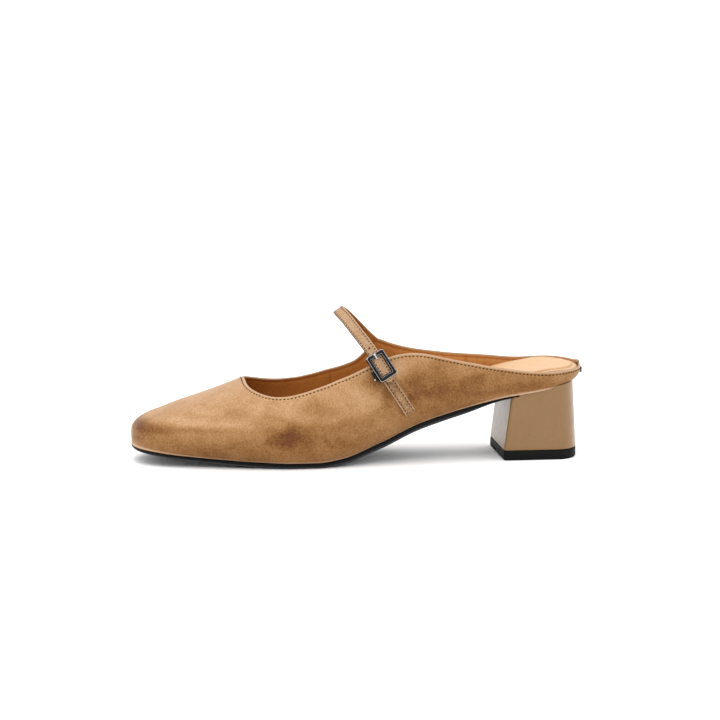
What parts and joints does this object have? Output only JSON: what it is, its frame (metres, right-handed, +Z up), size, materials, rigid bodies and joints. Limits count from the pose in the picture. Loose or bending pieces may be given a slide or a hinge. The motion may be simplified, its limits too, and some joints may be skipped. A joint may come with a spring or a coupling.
{
  "type": "leather mule",
  "caption": "Women's leather mule with a closed squarish toe, a low block heel and a thin buckled strap over the instep; left shoe.",
  "frame": {"origin": "on the heel's floor face, near its middle", "axes": "+X toward the toe, +Y toward the outer (lateral) side, +Z up from the floor"},
  "size_m": [0.2517, 0.0804, 0.0846],
  "materials": {
    "sole_rubber": "satin black, slightly worn lower bevel",
    "heel_cover": "smooth painted leather, semi-gloss tan",
    "lift_rubber": "matt black",
    "upper_leather": "waxed tan leather with burnished brown patches",
    "sock_leather": "smooth light tan leather",
    "strap_leather": "waxed tan leather, stitched along both edges",
    "buckle_metal": "polished, with a dark recessed face",
    "plate_metal": "plain dark plate"
  },
  "bodies": {
    "root": {"outsole": "sole_rubber", "heel": "heel_cover", "top_lift": "lift_rubber", "upper": "upper_leather", "insole": "sock_leather", "strap": "strap_leather", "chape": "strap_leather", "buckle_frame": "buckle_metal", "buckle_prong": "buckle_metal", "back_plate": "plate_metal", "back_tab": "upper_leather"}
  },
  "joints": []
}
